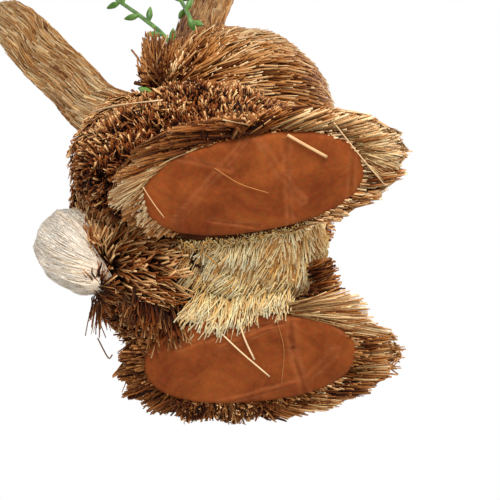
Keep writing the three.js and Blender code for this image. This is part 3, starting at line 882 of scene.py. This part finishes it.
# ---------------------------------------- sprigs
# Two sprigs of soft green plastic stand between the ears.
# Each is a thin stem with small pointed leaves, moulded in one and pushed into the crown.
leaf_green, tree, shader = new_material("leaf_green")
vein = noise_in(tree, Scale=180)
tone = ramp(tree, vein.outputs["Fac"], (0.3, (52, 92, 18)), (0.75, (116, 160, 66)))
feed(tree, shader, Base_Color=tone, Roughness=0.4, Subsurface_Weight=0.15,
     Subsurface_Radius=(0.002, 0.003, 0.001))


def route(node, shares, count):
    """A smooth run of `count` points through points in shares of a node's box."""
    low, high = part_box(node)
    knots = [low + Vector(a * b for a, b in zip(high - low, share)) for share in shares]
    ends = [knots[0] * 2 - knots[1]] + knots + [knots[-1] * 2 - knots[-2]]
    made = []
    for k in range(count):
        along = (len(knots) - 1) * k / (count - 1)
        first = min(int(along), len(knots) - 2)
        t = along - first
        a, b, c, d = ends[first:first + 4]
        made.append(0.5 * ((2 * b) + (c - a) * t + (2 * a - 5 * b + 4 * c - d) * t * t
                           + (3 * b - a - 3 * c + d) * t ** 3))
    return made


def rod(bm, points, radii, sides=8, flat=1.0):
    """A closed rod along points in bm; flat squeezes it one way."""
    rows, side = [], None
    for k, point in enumerate(points):
        tangent = (points[min(k + 1, len(points) - 1)] - points[max(k - 1, 0)]).normalized()
        if side is None:
            side = tangent.cross(Vector((0.3, 0.2, 1))).normalized()
        side = (side - tangent * side.dot(tangent)).normalized()
        lift = tangent.cross(side)
        rows.append([bm.verts.new(point + side * math.cos(math.tau * j / sides) * radii[k]
                                  + lift * math.sin(math.tau * j / sides) * radii[k] * flat)
                     for j in range(sides)])
    made = [bm.faces.new(rows[0]), bm.faces.new(list(reversed(rows[-1])))]
    for one, two in zip(rows, rows[1:]):
        for j in range(sides):
            made.append(bm.faces.new((one[j], two[j], two[(j + 1) % sides], one[(j + 1) % sides])))
    bmesh.ops.recalc_face_normals(bm, faces=made)


# Stem points in shares of the node's box, and leaves as (share of the stem, turn about it).
SPRIGS = {
    "sprig_rear": ([(1.18, -0.07, -0.12), (0.55, 0.215, 0.249), (0.48, 0.528, 0.581), (0.62, 0.907, 0.972)],
                   [(0.3, 2.9), (0.42, 1.2), (0.6, 3.4), (0.72, 1.2), (0.95, 3.2), (0.98, 1.0)]),
    "sprig_front": ([(1.18, -0.03, -0.14), (0.48, 0.23, 0.293), (0.39, 0.487, 0.622), (0.57, 0.87, 0.986)],
                    [(0.36, 1.8), (0.5, 4.4), (0.68, 3.3), (0.72, 0.1), (0.86, 2.1), (0.97, 5.1)]),
}
LEAF_LENGTH, LEAF_WIDTH, STEM_RADIUS, STEM_STEPS = 0.0102, 0.0021, 0.0015, 25
LEAF_RUN = (0, 0.12, 0.3, 0.5, 0.7, 0.86, 0.96, 1.0)
LEAF_WIDTHS = (0.35, 0.5, 0.85, 1.0, 0.8, 0.5, 0.22, 0.02)
LEAF_SIDES, LEAF_FLAT = 10, 0.6
for node, (shares, leaves) in SPRIGS.items():
    stem = route(node, shares, STEM_STEPS + 1)
    bm = bmesh.new()
    rod(bm, stem, [STEM_RADIUS * (1.15 - 0.35 * k / STEM_STEPS) for k in range(STEM_STEPS + 1)])
    for share, turn in leaves:
        at = min(int(share * STEM_STEPS), STEM_STEPS - 1)
        foot, tangent = stem[at], (stem[at + 1] - stem[at]).normalized()
        across = tangent.cross(Vector((0, 0, 1)) + Vector((0.1, 0, 0))).normalized()
        out = (Matrix.Rotation(turn, 3, tangent) @ across + tangent * 0.55).normalized()
        rod(bm, [foot + out * LEAF_LENGTH * t for t in LEAF_RUN], [LEAF_WIDTH * w for w in LEAF_WIDTHS],
            LEAF_SIDES, LEAF_FLAT)
    place(solid(bm, node + "_green", leaf_green), "green_plastic", node)

# One loose leaf is caught in the straw at the nape.
bm = bmesh.new()
rod(bm, route("head", [(0.13, 0.967, 0.14), (0.125, 0.93, 0.06), (0.12, 0.89, -0.02)], 7),
    [LEAF_WIDTH * w for w in (0.3, 0.7, 0.95, 1.0, 0.8, 0.45, 0.05)], LEAF_SIDES, LEAF_FLAT)
place(solid(bm, "nape_leaf_green", leaf_green), "green_plastic")


# ---------------------------------------- stray straws
# A few loose straws have worked out of the bundles and lie across the soles and round the edges.
# Each is a run of points in shares of a node's box, with a width in mm and a tint.
STRAYS = [
    ("sole_right", [(0.37, 0.98, -0.1), (0.54, 0.945, -0.2), (0.70, 0.907, -0.2)], 0.55, 0.66),
    ("sole_right", [(0.27, 0.66, -0.1), (0.45, 0.56, -0.2), (0.58, 0.44, -0.2)], 0.35, 0.5),
    ("sole_right", [(0.03, 0.33, -0.1), (0.16, 0.25, -0.25), (0.29, 0.17, -0.25)], 1.6, 0.66),
    ("foot_right", [(0.15, 0.24, -0.02), (0.40, 0.17, -0.04), (0.67, 0.09, -0.03)], 0.6, 0.75),
    ("sole_left", [(0.07, 0.64, -0.1), (0.36, 0.54, -0.3), (0.68, 0.42, -0.3)], 0.8, 0.9),
    ("sole_left", [(0.03, 0.53, -0.1), (0.25, 0.51, -0.35), (0.47, 0.48, -0.3)], 1.0, 0.85),
    ("sole_left", [(0.04, 0.36, -0.1), (0.40, 0.34, -0.2), (0.78, 0.37, -0.2)], 0.35, 0.45),
    ("haunch_left", [(0.34, 0.99, 0.13), (0.59, 0.96, 0.13), (0.56, 0.94, 0.13)], 0.8, 0.2),
    ("head", [(0.136, 0.93, 0.36), (0.13, 0.96, 0.57), (0.13, 1.0, 0.77)], 1.4, 0.2),
    ("head", [(0.12, 0.985, 0.2), (0.12, 0.965, 0.175), (0.12, 0.945, 0.15)], 2.4, 0.02),
    ("haunch_right", [(0.503, 0.92, 0.953), (0.244, 0.841, 0.696), (0.13, 0.7525, 0.58), (0.02, 0.59, 0.45)],
     1.3, 0.8),
    ("body", [(0.09, 0.85, 0.71), (0.12, 0.80, 0.79), (0.08, 0.68, 0.73)], 0.9, 0.55),
]
STRAY_POINTS, STRAY_SIDES, STRAY_FLAT = 9, 5, 0.6
parts = []
for node, shares, width, tint in STRAYS:
    bm = bmesh.new()
    rod(bm, route(node, shares, STRAY_POINTS), [width * MM / 2] * STRAY_POINTS, STRAY_SIDES, STRAY_FLAT)
    bmesh.ops.triangulate(bm, faces=bm.faces)
    bm.verts.index_update()
    corners, faces = form_of(bm)
    parts.append((corners, faces, np.full(len(corners), tint), np.ones(len(corners))))
    bm.free()
build("stray_straws", parts, foot_straw, "tan_straw")


# ---------------------------------------- floor, light and camera
# The rabbit stands on a pale floor that shows only from above, in soft daylight all round.
# The camera looks up from under the soles.
soles = [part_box("sole_left"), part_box("sole_right")]
between = sum(((a + b) / 2 for a, b in soles), Vector()) / 2
between.z = 0
FLOOR_DROP, FLOOR_REACH = 0.002, 2.0
pale, tree, shader = new_material("pale_floor")
feed(tree, shader, Base_Color=srgb(236, 235, 232), Roughness=0.8)
blend = add(tree, "MixShader", Fac=add(tree, "NewGeometry").outputs["Backfacing"])
wire(tree, shader.outputs["BSDF"], blend.inputs[1])
wire(tree, add(tree, "BsdfTransparent").outputs["BSDF"], blend.inputs[2])
feed(tree, tree.nodes["Material Output"], Surface=blend.outputs["Shader"])
bm = bmesh.new()
bmesh.ops.create_grid(bm, x_segments=1, y_segments=1, size=FLOOR_REACH)
bmesh.ops.translate(bm, verts=bm.verts, vec=between - Vector((0, 0, FLOOR_DROP)))
floor = solid(bm, "floor", pale)
floor.visible_diffuse = floor.visible_glossy = floor.visible_shadow = False

TILT, ROLL, DISTANCE = math.radians(28), math.radians(7), 0.9
SENSOR, LENS, SHIFT = 36, 134.1, (-0.004, 0.052)
view = Vector((math.sin(TILT), 0, math.cos(TILT)))
level, rise = Vector((0, -1, 0)), Vector((-math.cos(TILT), 0, math.sin(TILT)))
cam_right = level * math.cos(ROLL) - rise * math.sin(ROLL)
cam_up = level * math.sin(ROLL) + rise * math.cos(ROLL)
camera = put("camera", bpy.data.cameras.new("camera"))
camera.matrix_world = Matrix.Translation(between - view * DISTANCE) \
    @ Matrix((cam_right, cam_up, -view)).transposed().to_4x4()
camera.data.sensor_width, camera.data.lens = SENSOR, LENS
camera.data.shift_x, camera.data.shift_y = SHIFT
bpy.context.scene.camera = camera


def soft_light(name, spot, aim, size, power):
    """A square soft light at spot, turned towards aim."""
    lamp = bpy.data.lights.new(name, "AREA")
    lamp.size, lamp.energy = size, power
    turned = (aim - spot).to_track_quat("-Z", "Y").to_matrix().to_4x4()
    put(name, lamp).matrix_world = Matrix.Translation(spot) @ turned


middle = between + Vector((0, 0, 0.1))
soft_light("key", middle - view * 0.9 + cam_up * 0.75 + cam_right * 0.2, middle, 0.5, 14)
soft_light("fill", middle + Vector((0.5, -1.0, 0.8)), middle, 0.8, 10)

# The sky is white to the camera and a little dimmer as a light.
SKY_LIGHT, SKY_SEEN = 0.75, 1.0
world = bpy.data.worlds.new("daylight")
world.use_nodes = True
bpy.context.scene.world = world
tree = world.node_tree
tree.nodes.clear()
sky = add(tree, "MixShader", Fac=add(tree, "LightPath").outputs["Is Camera Ray"])
for number, strength in ((1, SKY_LIGHT), (2, SKY_SEEN)):
    glow = add(tree, "Background", Color=(1, 1, 1, 1), Strength=strength)
    wire(tree, glow.outputs["Background"], sky.inputs[number])
add(tree, "OutputWorld", Surface=sky.outputs["Shader"])
bpy.context.scene.view_settings.view_transform = "Standard"
